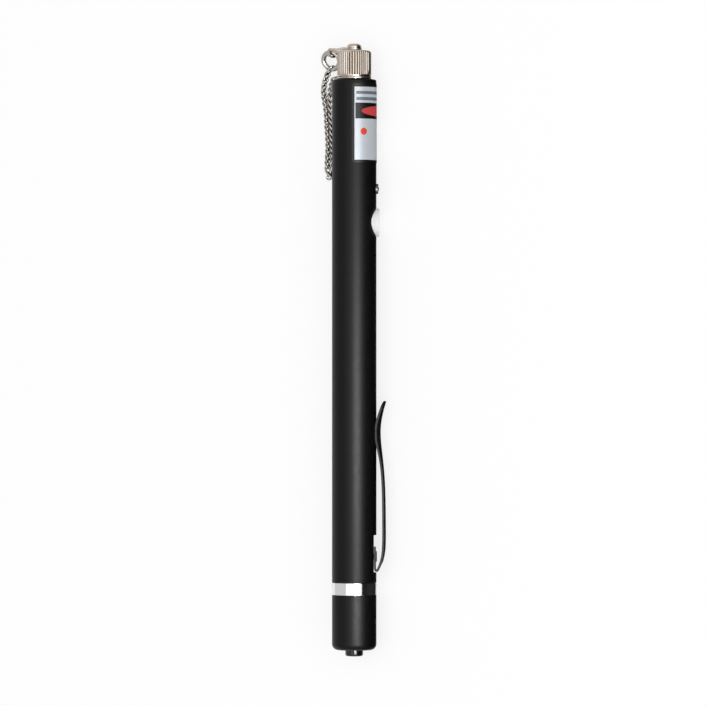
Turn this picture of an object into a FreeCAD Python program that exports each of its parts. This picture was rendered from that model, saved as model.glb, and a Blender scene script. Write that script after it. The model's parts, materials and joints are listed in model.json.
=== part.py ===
import FreeCAD, Part
import math
import os

from FreeCAD import Vector

# Visual fault locator: a pen-sized red-laser tester for optical fibre, lying on its side.
# Millimetres. The barrel's axis is the Y axis and the laser end points to +Y. The origin is on
# the axis of the ferrule port, in the plane of the barrel's front face. +Z is up. The clip, the
# button, the lamp and the label's middle share one side of the barrel, and the pen has rolled
# that way until the clip's edge meets the floor.

# barrel
BARREL_RADIUS = 6.6
BARREL_BORE_RADIUS = 5.6
BARREL_EDGE = 0.5            # rounding of the front rim
NOSE_WALL = 2.0              # thickness of the closed front end
REAR_BORE_RADIUS = 6.0       # socket for the trim ring's spigot
REAR_BORE_DEPTH = 2.6

# fits
SLIP = 0.02                  # parts of one body, assembled once
RUNNING = 0.06               # radial clearance of what turns or slides
SEAT = 0.05                  # end clearance between stacked parts

# fibre port
NECK_RADIUS = 4.0
NECK_REACH = 6.5             # how far the neck stands out of the barrel
NECK_FLANGE_LENGTH = 3.0
NECK_TIP_CHAMFER = 0.4
FERRULE_RADIUS = 1.25
SLEEVE_WALL = 0.35
SLEEVE_LENGTH = 8.8
SLEEVE_SETBACK = 0.2         # sleeve mouth behind the neck's tip
SLEEVE_SLIT = 0.3
BEAM_HOLE_RADIUS = 1.0

# neck washer, which ties the chain to the barrel
WASHER_THICKNESS = 0.8
WASHER_RADIUS = 5.1
WASHER_LUG_REACH = 8.5
WASHER_LUG_WIDTH = 2.4
WASHER_EYE_RADIUS = 0.65
WASHER_LUG_DROP = 20.0       # degrees below level, away from the clip

# dust cap
CAP_RADIUS = 5.03
CAP_LENGTH = 7.75
CAP_TOP_WALL = 1.3
CAP_SHOULDER = 0.9           # rounding of the closed end
CAP_FLUTES = 40
FLUTE_DEPTH = 0.3
FLUTE_WIDTH = 0.46
FLUTE_MARGIN = 0.45          # plain band below the flutes
CAP_GAP = 0.1                # cap to washer

# swivel rivet and lug on the cap
RIVET_SHANK_RADIUS = 1.0
RIVET_HEAD_RADIUS = 2.0
RIVET_HEAD_HEIGHT = 1.35
RIVET_HEAD_RIM = 0.4
RIVET_HEAD_STEPS = 3
RIVET_TAIL_RADIUS = 1.5
RIVET_TAIL_HEIGHT = 0.45
LUG_THICKNESS = 0.6
LUG_EYE_RADIUS = 2.25
LUG_WIDTH = 2.8
LUG_REACH = 10.2             # axis to the outside of the bent tab
LUG_RISE = 0.5               # how far the lug bows up before its tab
LUG_TAB_LENGTH = 2.9
LUG_BEND_RADIUS = 0.9
LUG_HOLE_RADIUS = 0.95
LUG_DROP = 18.5              # degrees below level, away from the clip

# ring between lug and chain
RING_WIRE_RADIUS = 0.55
RING_RADIUS = 2.6           # to the middle of the wire
RING_SWING = 20.0            # degrees that the ring leans away from the barrel
RING_GAP_ANGLE = 8.0         # opening of the jump ring
RING_GAP_PLACE = 100.0       # degrees round the ring from the lug
RING_SIDES = 8

# chain
WIRE_RADIUS = 0.21
LINK_LENGTH = 2.75
LINK_WIDTH = 1.46
END_LINK_LENGTH = 3.6
END_LINK_WIDTH = 2.2
LINK_SLACK = 0.1
LINK_TWIST_REACH = 0.6       # share of a link's straight sides that is twisted
LINK_SIDES = 5
LINK_STEPS = 12
# how the chain lies, from its turn to each end: the outer strand meets the ring, the inner one the washer
CHAIN_TURN = Vector(-11.5, -28.9, 0)
CHAIN_OUTER = [Vector(-12.4, -27.0, 0), Vector(-12.4, -20.0, 0), Vector(-12.75, -13.5, 0),
               Vector(-13.2, -7.5, 0), Vector(-13.8, -3.4, 0.1), Vector(-13.3, -0.6, 0.3)]
CHAIN_INNER = [Vector(-10.6, -27.0, 0), Vector(-10.7, -20.0, 0), Vector(-11.0, -13.5, 0),
               Vector(-11.45, -8.0, 0), Vector(-11.35, -4.6, 0.15), Vector(-10.7, -2.0, 0.7),
               Vector(-9.4, -0.1, 1.6)]

# label
LABEL_THICKNESS = 0.08
LABEL_LENGTH = 25.2
LABEL_SETBACK = 1.3          # from the barrel's front face
LABEL_HALF_WRAP = 96.3       # degrees either side of its middle
LABEL_CORNER = 1.0

# indicator lamp
LAMP_STATION = 32.4          # behind the front face
LAMP_RADIUS = 1.05
LAMP_LEAD = 0.4
LAMP_LEAD_SPREAD = 0.8
LAMP_DOME_TOP = 7.35         # from the axis
LAMP_BODY_LENGTH = 2.6
BEZEL_RADIUS = 1.5
BEZEL_TOP = 7.15
BEZEL_LENGTH = 2.0
BEZEL_EDGE = 0.25

# push button
BUTTON_STATION = 42.4
BUTTON_RADIUS = 4.15
BUTTON_TOP = 7.56
BUTTON_CROWN = 0.35          # rounding of the button's rim
BUTTON_WALL = 0.7
BUTTON_SKIRT_END = 3.6
BUTTON_FLANGE_THICKNESS = 0.8
BUTTON_FLANGE_LENGTH = 10.2
BUTTON_FLANGE_WIDTH = 5.2
BUTTON_STEM_RADIUS = 1.2
BUTTON_TRAVEL = 0.5

# switch under the button
SWITCH_SIZE = 5.0
SWITCH_HEIGHT = 3.0
PLUNGER_RADIUS = 0.9
PLUNGER_PROUD = 0.6
PLUNGER_LENGTH = 1.6

# circuit board
BOARD_THICKNESS = 1.0
BOARD_WIDTH = 9.2
BOARD_TOP = -1.0             # below the axis, away from the button
BOARD_FRONT = 17.0           # stations behind the front face
BOARD_REAR = 55.5
BOARD_SOCKET = 1.5           # how deep each end sits in its slot

# laser module
HOUSING_REAR = 18.5
LENS_RADIUS = 2.1
LENS_SEAT = 6.6
LENS_EDGE = 1.0
LENS_BULGE = 0.7
DIODE_FLANGE_RADIUS = 2.8
DIODE_FLANGE = 1.2
DIODE_CAN_RADIUS = 2.3
DIODE_CAN = 2.2
DIODE_SEAT = 11.5
DIODE_PIN_RADIUS = 0.225
DIODE_PIN_CIRCLE = 1.0
DIODE_PIN_LENGTH = 6.5
RETAINER_LENGTH = 1.8
RETAINER_HOLE_RADIUS = 1.6

# battery compartment
CARRIER_LENGTH = 3.6
CONTACT_RADIUS = 2.6
CONTACT_THICKNESS = 0.4
CONTACT_TAIL_RADIUS = 0.6
CELL_RADIUS = 5.2
CELL_LENGTH = 44.5
CELL_NUB_RADIUS = 1.9
CELL_NUB = 1.1
SPRING_WIRE_RADIUS = 0.3
SPRING_TURNS = 5.0
SPRING_LENGTH = 12.83        # pressed between the rear cell and the tail plug
SPRING_FRONT_RADIUS = 2.2
SPRING_REAR_RADIUS = 4.0
SPRING_SIDES = 4
SPRING_STEPS_PER_TURN = 12

# trim ring, which joins the barrel and the tail cap
TRIM_LENGTH = 3.6
TRIM_BORE_RADIUS = 5.32
TRIM_THREAD_LENGTH = 5.5

# tail
TAIL_LENGTH = 16.3
TAIL_CORNER = 1.8
TAIL_END_WALL = 2.1
TAIL_BORE_RADIUS = 5.4
PLUG_NUB_RADIUS = 2.65
PLUG_NUB_PROUD = 1.85
PLUG_NUB_EDGE = 0.55
PLUG_BODY_LENGTH = 7.0
PLUG_BOSS_RADIUS = 2.4
PLUG_BOSS = 2.0

# clip: radii of the strip's middle, and distances ahead of the barrel's rear end, from foot to free tip
CLIP_THICKNESS = 0.6
CLIP_FLAT_RADIUS = 5.8       # axis to the flat in the barrel's side that the foot sits on
CLIP_FLAT_FRONT = 14.1
CLIP_FLAT_REAR = 2.9
CLIP_FOOT_FRONT = 10.5
CLIP_FOLD_PLACE = 4.0
CLIP_FOLD_RADIUS = 0.5
CLIP_FOLD_ANGLE = 138.0
CLIP_BELLY = (15.1, 9.15)
CLIP_WAIST = (36.1, 8.35)
CLIP_PAD = (46.7, 7.6)
CLIP_TIP = (53.8, 9.25)
CLIP_FLARE = 16.0            # degrees that the free tip leans out
CLIP_FOOT_WIDTH = 5.5
CLIP_PAD_WIDTH = 4.6
CLIP_CROWN = 0.55            # how far the middle of the leaf stands above its edges
CLIP_STATIONS = 14
CLIP_CROWN_STEPS = 4
CLIP_FOLD_STEPS = 5
CLIP_TIP_STEPS = 3
CLIP_RIVET_PLACE = 7.7
CLIP_RIVET_RADIUS = 0.9
CLIP_RIVET_HEAD_RADIUS = 1.6
CLIP_RIVET_HEAD = 0.25

AXIS = Vector(0, 1, 0)
SIDE = Vector(1, 0, 0)
UP = Vector(0, 0, 1)

CAP_FRONT = WASHER_THICKNESS + CAP_GAP
CAP_TOP = CAP_FRONT + CAP_LENGTH
LUG_BASE = CAP_TOP + SEAT
CARRIER_START = BOARD_REAR - BOARD_SOCKET
CELLS_START = CARRIER_START + CARRIER_LENGTH + SLIP + CONTACT_THICKNESS + SEAT
CELLS_END = CELLS_START + 2 * CELL_LENGTH + SEAT
PLUG_START = CELLS_END + SPRING_LENGTH
TAIL_END = PLUG_START + PLUG_BODY_LENGTH + SEAT + TAIL_END_WALL
TAIL_START = TAIL_END - TAIL_LENGTH
TRIM_START = TAIL_START - SEAT - TRIM_LENGTH
BARREL_LENGTH = TRIM_START - SEAT
CLIP_RIVET_STATION = BARREL_LENGTH - CLIP_RIVET_PLACE
AXIS_HEIGHT = BARREL_RADIUS + SLIP + LABEL_THICKNESS


def turned(points):
    """Solid of revolution about the pen's axis from (radius, y) points."""
    corners = [Vector(radius, y, 0) for radius, y in points]
    profile = Part.Face(Part.makePolygon(corners + corners[:1]))
    return profile.revolve(Vector(0, 0, 0), AXIS, 360)


def corner(radius, y, size, first, last, steps):
    """Points of a rounded corner of a turned profile; angles run from +radius towards +y."""
    points = []
    for k in range(steps + 1):
        angle = math.radians(first + (last - first) * k / steps)
        points.append((radius + size * math.cos(angle), y + size * math.sin(angle)))
    return points


def sideways(shape, distance):
    """Turned piece aimed out of the barrel's side, at a distance behind the front face."""
    shape.rotate(Vector(0, 0, 0), UP, -90)
    shape.translate(station(distance))
    return shape


def rod(radius, start, end, direction, centre=Vector(0, 0, 0)):
    """Cylinder along a direction, between two distances from a centre."""
    return Part.makeCylinder(radius, end - start, centre + direction * start, direction)


def station(distance):
    """Point on the axis at a distance behind the barrel's front face."""
    return Vector(0, -distance, 0)


def box(low, high):
    """Box between two corners."""
    size = high.sub(low)
    return Part.makeBox(size.x, size.y, size.z, low)


def wire_solid(middles, tangents, references, radius, sides, closed):
    """Wire of a few-sided section that follows a line of points."""
    rings = []
    for middle, tangent, reference in zip(middles, tangents, references):
        first = reference.sub(tangent * reference.dot(tangent)).normalize()
        second = tangent.cross(first)
        turns = [2 * math.pi * k / sides for k in range(sides)]
        ring = [middle + first * (radius * math.cos(a)) + second * (radius * math.sin(a)) for a in turns]
        rings.append(ring)
    faces = []
    spans = list(zip(rings, rings[1:]))
    if closed:
        spans.append((rings[-1], rings[0]))
    for near, far in spans:
        for k in range(sides):
            after = (k + 1) % sides
            for a, b, c in ((near[k], near[after], far[after]), (near[k], far[after], far[k])):
                faces.append(Part.Face(Part.makePolygon([a, b, c, a])))
    if not closed:
        for ring in (rings[0], rings[-1]):
            faces.append(Part.Face(Part.makePolygon(ring + ring[:1])))
    solid = Part.makeSolid(Part.makeShell(faces))
    if solid.Volume < 0:
        solid.reverse()
    return solid


def barrel():
    """Aluminium tube with a closed front end, holes for what sits in its side, and a flat for the clip."""
    hole = NECK_RADIUS + SLIP
    socket = -BARREL_LENGTH + REAR_BORE_DEPTH
    rim = corner(BARREL_RADIUS - BARREL_EDGE, -BARREL_EDGE, BARREL_EDGE, 90, 0, 2)
    body = turned([(hole, 0)] + rim + [
        (BARREL_RADIUS, -BARREL_LENGTH), (REAR_BORE_RADIUS, -BARREL_LENGTH),
        (REAR_BORE_RADIUS, socket), (BARREL_BORE_RADIUS, socket),
        (BARREL_BORE_RADIUS, -NOSE_WALL), (hole, -NOSE_WALL),
    ])
    for radius, place in (
        (BUTTON_RADIUS + RUNNING, BUTTON_STATION),
        (BEZEL_RADIUS + SLIP, LAMP_STATION),
        (CLIP_RIVET_RADIUS + SLIP, CLIP_RIVET_STATION),
    ):
        body = body.cut(rod(radius, 0, 2 * BARREL_RADIUS, SIDE, station(place)))
    low = Vector(CLIP_FLAT_RADIUS, CLIP_FLAT_REAR - BARREL_LENGTH, -BARREL_RADIUS)
    high = Vector(2 * BARREL_RADIUS, CLIP_FLAT_FRONT - BARREL_LENGTH, BARREL_RADIUS)
    return body.cut(box(low, high))


def front_neck():
    """Turned nose that holds the ferrule sleeve and carries the dust cap's thread."""
    back = -NOSE_WALL - SEAT
    flange_end = back - NECK_FLANGE_LENGTH
    flange = BARREL_BORE_RADIUS - RUNNING
    sleeve_hole = FERRULE_RADIUS + SLEEVE_WALL + SLIP
    sleeve_floor = NECK_REACH - SLEEVE_SETBACK - SLEEVE_LENGTH
    tip = NECK_REACH
    return turned([
        (sleeve_hole, tip), (NECK_RADIUS - NECK_TIP_CHAMFER, tip), (NECK_RADIUS, tip - NECK_TIP_CHAMFER),
        (NECK_RADIUS, back), (flange, back), (flange, flange_end), (BEAM_HOLE_RADIUS, flange_end),
        (BEAM_HOLE_RADIUS, sleeve_floor), (sleeve_hole, sleeve_floor),
    ])


def ferrule_sleeve():
    """Split ceramic sleeve that grips the fibre connector's ferrule."""
    mouth = NECK_REACH - SLEEVE_SETBACK
    outer = FERRULE_RADIUS + SLEEVE_WALL
    floor = mouth - SLEEVE_LENGTH
    tube = turned([(FERRULE_RADIUS, mouth), (outer, mouth), (outer, floor), (FERRULE_RADIUS, floor)])
    slit = box(Vector(-SLEEVE_SLIT / 2, floor - 1, 0), Vector(SLEEVE_SLIT / 2, mouth + 1, outer + 1))
    return tube.cut(slit)


def away(drop):
    """Level direction away from the clip, lowered by some degrees."""
    return Vector(-math.cos(math.radians(drop)), 0, -math.sin(math.radians(drop)))


def neck_washer():
    """Washer round the neck, with a lug and an eye for the chain."""
    thickness = WASHER_THICKNESS - SEAT
    direction = away(WASHER_LUG_DROP)
    disc = rod(WASHER_RADIUS, SEAT / 2, SEAT / 2 + thickness, AXIS)
    half = WASHER_LUG_WIDTH / 2
    arm = WASHER_LUG_REACH - half
    lug = Part.makeBox(arm, thickness, WASHER_LUG_WIDTH, Vector(0, SEAT / 2, -half))
    lug = lug.fuse(rod(half, SEAT / 2, SEAT / 2 + thickness, AXIS, Vector(arm, 0, 0)))
    lug.rotate(Vector(0, 0, 0), AXIS, 180 - WASHER_LUG_DROP)
    washer = disc.fuse(lug).removeSplitter()
    washer = washer.cut(rod(NECK_RADIUS + RUNNING, -1, 2, AXIS))
    return washer.cut(rod(WASHER_EYE_RADIUS, -1, 2, AXIS, direction * washer_eye_distance()))


def washer_eye_distance():
    """Distance from the axis to the hole in the neck washer's eye."""
    return WASHER_LUG_REACH - WASHER_LUG_WIDTH / 2


def dust_cap():
    """Turned cap with straight flutes, which screws on the neck."""
    roof = CAP_TOP - CAP_TOP_WALL
    bore = NECK_RADIUS + RUNNING
    hole = RIVET_SHANK_RADIUS + RUNNING
    shoulder = corner(CAP_RADIUS - CAP_SHOULDER, CAP_TOP - CAP_SHOULDER, CAP_SHOULDER, 0, 90, 3)
    body = turned([(bore, CAP_FRONT), (CAP_RADIUS, CAP_FRONT)] + shoulder + [
        (hole, CAP_TOP), (hole, roof), (bore, roof),
    ])
    low = CAP_FRONT + FLUTE_MARGIN
    high = CAP_TOP - CAP_SHOULDER
    outside = CAP_RADIUS + FLUTE_DEPTH
    notch = Part.Face(Part.makePolygon([
        Vector(CAP_RADIUS - FLUTE_DEPTH, low, 0),
        Vector(outside, low, FLUTE_WIDTH),
        Vector(outside, low, -FLUTE_WIDTH),
        Vector(CAP_RADIUS - FLUTE_DEPTH, low, 0),
    ])).extrude(AXIS * (high - low))
    notches = []
    for k in range(CAP_FLUTES):
        flute = notch.copy()
        flute.rotate(Vector(0, 0, 0), AXIS, 360 * k / CAP_FLUTES)
        notches.append(flute)
    return body.cut(Part.makeCompound(notches))


def cap_rivet():
    """Rivet with a domed head, on which the lug and the cap turn."""
    roof = CAP_TOP - CAP_TOP_WALL
    under = LUG_BASE + LUG_THICKNESS + SEAT
    tail_low = roof - SEAT - RIVET_TAIL_HEIGHT
    crown = RIVET_HEAD_HEIGHT - RIVET_HEAD_RIM
    dome = []
    for k in range(RIVET_HEAD_STEPS + 1):
        turn = math.radians(90 * k / RIVET_HEAD_STEPS)
        dome.append((RIVET_HEAD_RADIUS * math.cos(turn), under + RIVET_HEAD_RIM + crown * math.sin(turn)))
    dome[-1] = (0, under + RIVET_HEAD_HEIGHT)
    return turned([(RIVET_HEAD_RADIUS, under)] + dome + [
        (0, tail_low), (RIVET_TAIL_RADIUS, tail_low), (RIVET_TAIL_RADIUS, roof - SEAT),
        (RIVET_SHANK_RADIUS, roof - SEAT), (RIVET_SHANK_RADIUS, under),
    ])


def lug_hole_centre():
    """Middle of the hole in the lug's tab."""
    reach = LUG_REACH - LUG_THICKNESS / 2
    tab_low = LUG_BASE + LUG_RISE + LUG_THICKNESS - LUG_TAB_LENGTH
    return away(LUG_DROP) * reach + AXIS * (tab_low + LUG_HOLE_RADIUS + 0.5)


def cap_lug():
    """Flat strip from the rivet past the cap's edge, bowed up and bent down into a tab."""
    bottom = LUG_BASE
    top = bottom + LUG_RISE
    bend = LUG_REACH - LUG_BEND_RADIUS
    inner = LUG_BEND_RADIUS - LUG_THICKNESS
    diagonal = Vector(1, 1, 0) * math.sqrt(0.5)
    tab_low = top + LUG_THICKNESS - LUG_TAB_LENGTH
    lift = Vector(0, LUG_THICKNESS, 0)
    start = Vector(0, bottom, 0)
    edge = Vector(CAP_RADIUS, bottom, 0)
    crest = Vector(bend, top, 0)
    centre = Vector(bend, top - inner, 0)
    outer = centre + Vector(LUG_BEND_RADIUS, 0, 0)
    outline = Part.Wire([
        Part.LineSegment(start, edge).toShape(),
        Part.LineSegment(edge, crest).toShape(),
        Part.Arc(crest, centre + diagonal * inner, centre + Vector(inner, 0, 0)).toShape(),
        Part.LineSegment(centre + Vector(inner, 0, 0), Vector(bend + inner, tab_low, 0)).toShape(),
        Part.LineSegment(Vector(bend + inner, tab_low, 0), Vector(LUG_REACH, tab_low, 0)).toShape(),
        Part.LineSegment(Vector(LUG_REACH, tab_low, 0), outer).toShape(),
        Part.Arc(outer, centre + diagonal * LUG_BEND_RADIUS, crest + lift).toShape(),
        Part.LineSegment(crest + lift, edge + lift).toShape(),
        Part.LineSegment(edge + lift, start + lift).toShape(),
        Part.LineSegment(start + lift, start).toShape(),
    ])
    strip = Part.Face(outline).extrude(UP * LUG_WIDTH)
    strip.translate(UP * (-LUG_WIDTH / 2))
    short = [e for e in strip.Edges if e.Length < LUG_THICKNESS + 1e-4]
    corners = [e for e in short if abs(e.CenterOfMass.y - tab_low) < 1e-4]
    corners = [e for e in corners if abs(e.CenterOfMass.z) > 0.4 * LUG_WIDTH]
    strip = strip.makeFillet(0.35 * LUG_WIDTH, corners)
    strip = strip.fuse(rod(LUG_EYE_RADIUS, bottom, bottom + LUG_THICKNESS, AXIS)).removeSplitter()
    strip = strip.cut(rod(RIVET_SHANK_RADIUS + RUNNING, bottom - 1, top + 2, AXIS))
    strip.rotate(Vector(0, 0, 0), AXIS, 180 - LUG_DROP)
    hole = lug_hole_centre()
    return strip.cut(rod(LUG_HOLE_RADIUS, -LUG_THICKNESS, LUG_THICKNESS, away(LUG_DROP), hole))


def ring_lean():
    """Direction from the lug's hole across the ring, to where the ring lies on the end link."""
    hook = lug_hole_centre()
    floor = -AXIS_HEIGHT + END_LINK_WIDTH / 2 + LINK_SLACK
    down = (floor - hook.z) / (2 * RING_RADIUS)
    level = math.sqrt(1 - down * down)
    swing = math.radians(RING_SWING)
    return Vector(-level * math.sin(swing), -level * math.cos(swing), down)


def ring_far_point():
    return lug_hole_centre() + ring_lean() * (2 * RING_RADIUS)


def jump_ring():
    """Open ring of round wire that joins the lug and the chain."""
    lean = ring_lean()
    centre = lug_hole_centre() + lean * RING_RADIUS
    normal = lean.cross(away(LUG_DROP)).normalize()
    sides = RING_SIDES
    outward = -lean
    corners = []
    for k in range(sides):
        angle = 2 * math.pi * (k + 0.5) / sides
        offset = (outward * math.cos(angle) + normal * math.sin(angle)) * RING_WIRE_RADIUS
        corners.append(centre + outward * RING_RADIUS + offset)
    section = Part.Face(Part.makePolygon(corners + corners[:1]))
    section.rotate(centre, normal, RING_GAP_PLACE)
    return section.revolve(centre, normal, 360 - RING_GAP_ANGLE)


def link(length, width, start_roll, end_roll):
    """Oval link along Y about the origin; its two bows are rolled about Y by their own angles."""
    bow = (width - 2 * WIRE_RADIUS) / 2
    half = length / 2 - WIRE_RADIUS
    straight = half - bow
    middles = []
    references = []
    for k in range(LINK_STEPS):
        turn = 2 * math.pi * (k + 0.5) / LINK_STEPS
        along = math.sin(turn)
        across = bow * math.cos(turn)
        y = bow * along + math.copysign(straight, along)
        share = 0.5 + y / (2 * LINK_TWIST_REACH * straight)
        share = min(1, max(0, share))
        roll = math.radians(start_roll + (end_roll - start_roll) * share)
        middles.append(Vector(across * math.cos(roll), y, across * math.sin(roll)))
        references.append(Vector(-math.sin(roll), 0, math.cos(roll)))
    tangents = []
    for k in range(LINK_STEPS):
        ahead = middles[(k + 1) % LINK_STEPS]
        tangents.append(ahead.sub(middles[k - 1]).normalize())
    return wire_solid(middles, tangents, references, WIRE_RADIUS, LINK_SIDES, True)


def strand(points, joint_gap, end_gap):
    """Joint points from the chain's turn to an end, evenly spaced, the last one end_gap further."""
    curve = Part.BSplineCurve()
    curve.interpolate(points)
    length = curve.length()
    count = math.ceil((length - end_gap) / joint_gap)
    steps = [(length - end_gap) * k / count for k in range(count + 1)] + [length]
    return [curve.value(curve.parameterAtDistance(s, curve.FirstParameter)) for s in steps]


def chain_joints():
    """Joint points of the whole chain, from the ring to the washer's eye, and which one is its turn."""
    floor = -AXIS_HEIGHT + LINK_WIDTH / 2 + LINK_SLACK
    lift = Vector(0, 0, floor)
    pull = LINK_LENGTH - 4 * WIRE_RADIUS - LINK_SLACK
    eye = away(WASHER_LUG_DROP) * washer_eye_distance() + AXIS * (WASHER_THICKNESS / 2)
    turn = CHAIN_TURN + lift
    outer_end = ring_far_point()
    ring_pull = END_LINK_LENGTH - 4 * WIRE_RADIUS - RING_WIRE_RADIUS - LINK_SLACK
    eye_pull = END_LINK_LENGTH - 3 * WIRE_RADIUS - LINK_SLACK
    outer = strand([turn] + [p + lift for p in CHAIN_OUTER] + [outer_end], pull, ring_pull)
    inner = strand([turn] + [p + lift for p in CHAIN_INNER] + [eye], pull, eye_pull)
    return outer[::-1] + inner[1:], len(outer) - 1


def tether_chain():
    """Curb chain of twisted oval links, with a wider link at each end and plain ones at its turn."""
    joints, lowest = chain_joints()
    last = len(joints) - 2
    level, upright = (0, 0), (90, 90)
    rolls = {
        0: upright, lowest - 2: level, lowest - 1: upright, lowest: level, lowest + 1: upright, last: level,
    }
    headings = [after.sub(before).normalize() for before, after in zip(joints, joints[1:])]
    hooks = [a.add(b).normalize() * WIRE_RADIUS for a, b in zip(headings, headings[1:])]
    hooks.insert(0, headings[0] * (RING_WIRE_RADIUS + WIRE_RADIUS))
    hooks.append(Vector(0, 0, 0))
    hooks[lowest] = headings[lowest] * (WIRE_RADIUS + LINK_SLACK)
    links = []
    for k, heading in enumerate(headings):
        start = joints[k] - hooks[k]
        end = joints[k + 1] + hooks[k + 1]
        start_roll, end_roll = rolls.get(k, (0, 90))
        if k in (0, last):
            one = link(END_LINK_LENGTH, END_LINK_WIDTH, start_roll, end_roll)
        else:
            one = link(LINK_LENGTH, LINK_WIDTH, start_roll, end_roll)
        forward = end.sub(start).normalize()
        side = forward.cross(UP).normalize()
        turn = FreeCAD.Rotation(side, forward, side.cross(forward), "XYZ")
        one.Placement = FreeCAD.Placement((start + end) / 2, turn)
        links.append(one)
    return Part.makeCompound(links)


def label():
    """Printed sticker wrapped round the side of the barrel."""
    inner = BARREL_RADIUS + SLIP
    outer = inner + LABEL_THICKNESS
    high = -LABEL_SETBACK
    low = high - LABEL_LENGTH
    profile = Part.makePolygon([
        Vector(inner, high, 0), Vector(outer, high, 0), Vector(outer, low, 0),
        Vector(inner, low, 0), Vector(inner, high, 0),
    ])
    face = Part.Face(profile)
    face.rotate(Vector(0, 0, 0), AXIS, -LABEL_HALF_WRAP)
    sheet = face.revolve(Vector(0, 0, 0), AXIS, 2 * LABEL_HALF_WRAP)
    corners = [e for e in sheet.Edges if abs(e.Length - LABEL_THICKNESS) < 1e-4]
    return sheet.makeFillet(LABEL_CORNER, corners)


def indicator_lamp():
    """Small lamp with a domed lens and two leads down to the board."""
    bottom = LAMP_DOME_TOP - LAMP_BODY_LENGTH
    dome = corner(0, LAMP_DOME_TOP - LAMP_RADIUS, LAMP_RADIUS, 0, 90, 3)
    dome[-1] = (0, LAMP_DOME_TOP)
    body = sideways(turned([(0, bottom), (LAMP_RADIUS, bottom)] + dome), LAMP_STATION)
    half = LAMP_LEAD / 2
    for side in (-1, 1):
        low = Vector(BOARD_TOP, -LAMP_STATION - half, side * LAMP_LEAD_SPREAD / 2 - half)
        high = Vector(bottom + half, -LAMP_STATION + half, side * LAMP_LEAD_SPREAD / 2 + half)
        body = body.fuse(box(low, high))
    return body


def lamp_bezel():
    """Metal grommet round the lamp."""
    low = BEZEL_TOP - BEZEL_LENGTH
    hole = LAMP_RADIUS + SLIP
    rim = corner(BEZEL_RADIUS - BEZEL_EDGE, BEZEL_TOP - BEZEL_EDGE, BEZEL_EDGE, 0, 90, 2)
    return sideways(turned([(hole, low), (BEZEL_RADIUS, low)] + rim + [(hole, BEZEL_TOP)]), LAMP_STATION)


def push_button():
    """Turned button with a hollow skirt, a stem on the switch and a flange that keeps it in."""
    ceiling = BUTTON_TOP - BUTTON_WALL
    foot = BUTTON_SKIRT_END
    inside = BUTTON_RADIUS - BUTTON_WALL
    rim = corner(BUTTON_RADIUS - BUTTON_CROWN, BUTTON_TOP - BUTTON_CROWN, BUTTON_CROWN, 0, 90, 3)
    body = sideways(turned([
        (0, plunger_top()), (BUTTON_STEM_RADIUS, plunger_top()), (BUTTON_STEM_RADIUS, ceiling),
        (inside, ceiling), (inside, foot), (BUTTON_RADIUS, foot),
    ] + rim + [(0, BUTTON_TOP)]), BUTTON_STATION)
    half_length = BUTTON_FLANGE_LENGTH / 2
    half_width = BUTTON_FLANGE_WIDTH / 2
    low = Vector(foot, -BUTTON_STATION - half_length, -half_width)
    high = Vector(foot + BUTTON_FLANGE_THICKNESS, -BUTTON_STATION + half_length, half_width)
    flange = box(low, high).cut(rod(inside, 0, BUTTON_TOP, SIDE, station(BUTTON_STATION)))
    return body.fuse(flange).removeSplitter()


def plunger_top():
    """Height of the switch plunger's top over the axis, with the button up."""
    return BOARD_TOP + SWITCH_HEIGHT + PLUNGER_PROUD


def switch_plunger():
    """Sliding plunger of the switch, which the button's stem stands on."""
    return rod(PLUNGER_RADIUS, plunger_top() - PLUNGER_LENGTH, plunger_top(), SIDE, station(BUTTON_STATION))


def switch_body():
    """Square body of the switch, with a well for its plunger."""
    half = SWITCH_SIZE / 2
    y = -BUTTON_STATION
    top = BOARD_TOP + SWITCH_HEIGHT
    body = box(Vector(BOARD_TOP, y - half, -half), Vector(top, y + half, half))
    body = body.makeChamfer(0.3, [e for e in body.Edges if abs(e.CenterOfMass.x - top) < 1e-4])
    well = plunger_top() - PLUNGER_LENGTH - BUTTON_TRAVEL - SEAT
    return body.cut(rod(PLUNGER_RADIUS + RUNNING, well, top + 1, SIDE, station(BUTTON_STATION)))


def driver_board():
    """Circuit board, with a hole for each of the lamp's leads left to its solder."""
    half = BOARD_WIDTH / 2
    low = Vector(BOARD_TOP - BOARD_THICKNESS, -BOARD_REAR, -half)
    high = Vector(BOARD_TOP, -BOARD_FRONT, half)
    board = box(low, high)
    return board.makeChamfer(0.5, [e for e in board.Edges if abs(e.Length - BOARD_THICKNESS) < 1e-4])


def board_slot(start, end):
    """Space for an end of the board."""
    half = BOARD_WIDTH / 2 + SLIP
    low = Vector(BOARD_TOP - BOARD_THICKNESS - SLIP, -end, -half)
    return box(low, Vector(BOARD_TOP + SLIP, -start, half))


def laser_housing():
    """Turned brass body that holds lens, diode and retainer in line behind the neck."""
    front = -NOSE_WALL - 2 * SEAT - NECK_FLANGE_LENGTH
    outer = BARREL_BORE_RADIUS - RUNNING
    lens_bore = LENS_RADIUS + SLIP
    can_bore = DIODE_CAN_RADIUS + SLIP
    flange_bore = DIODE_FLANGE_RADIUS + SLIP
    can_floor = -DIODE_SEAT + DIODE_CAN + SEAT
    body = turned([
        (BEAM_HOLE_RADIUS, front), (outer, front), (outer, -HOUSING_REAR), (flange_bore, -HOUSING_REAR),
        (flange_bore, -DIODE_SEAT), (can_bore, -DIODE_SEAT), (can_bore, can_floor),
        (lens_bore, can_floor), (lens_bore, -LENS_SEAT), (BEAM_HOLE_RADIUS, -LENS_SEAT),
    ])
    return body.cut(board_slot(BOARD_FRONT - SLIP, HOUSING_REAR + 1))


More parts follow.
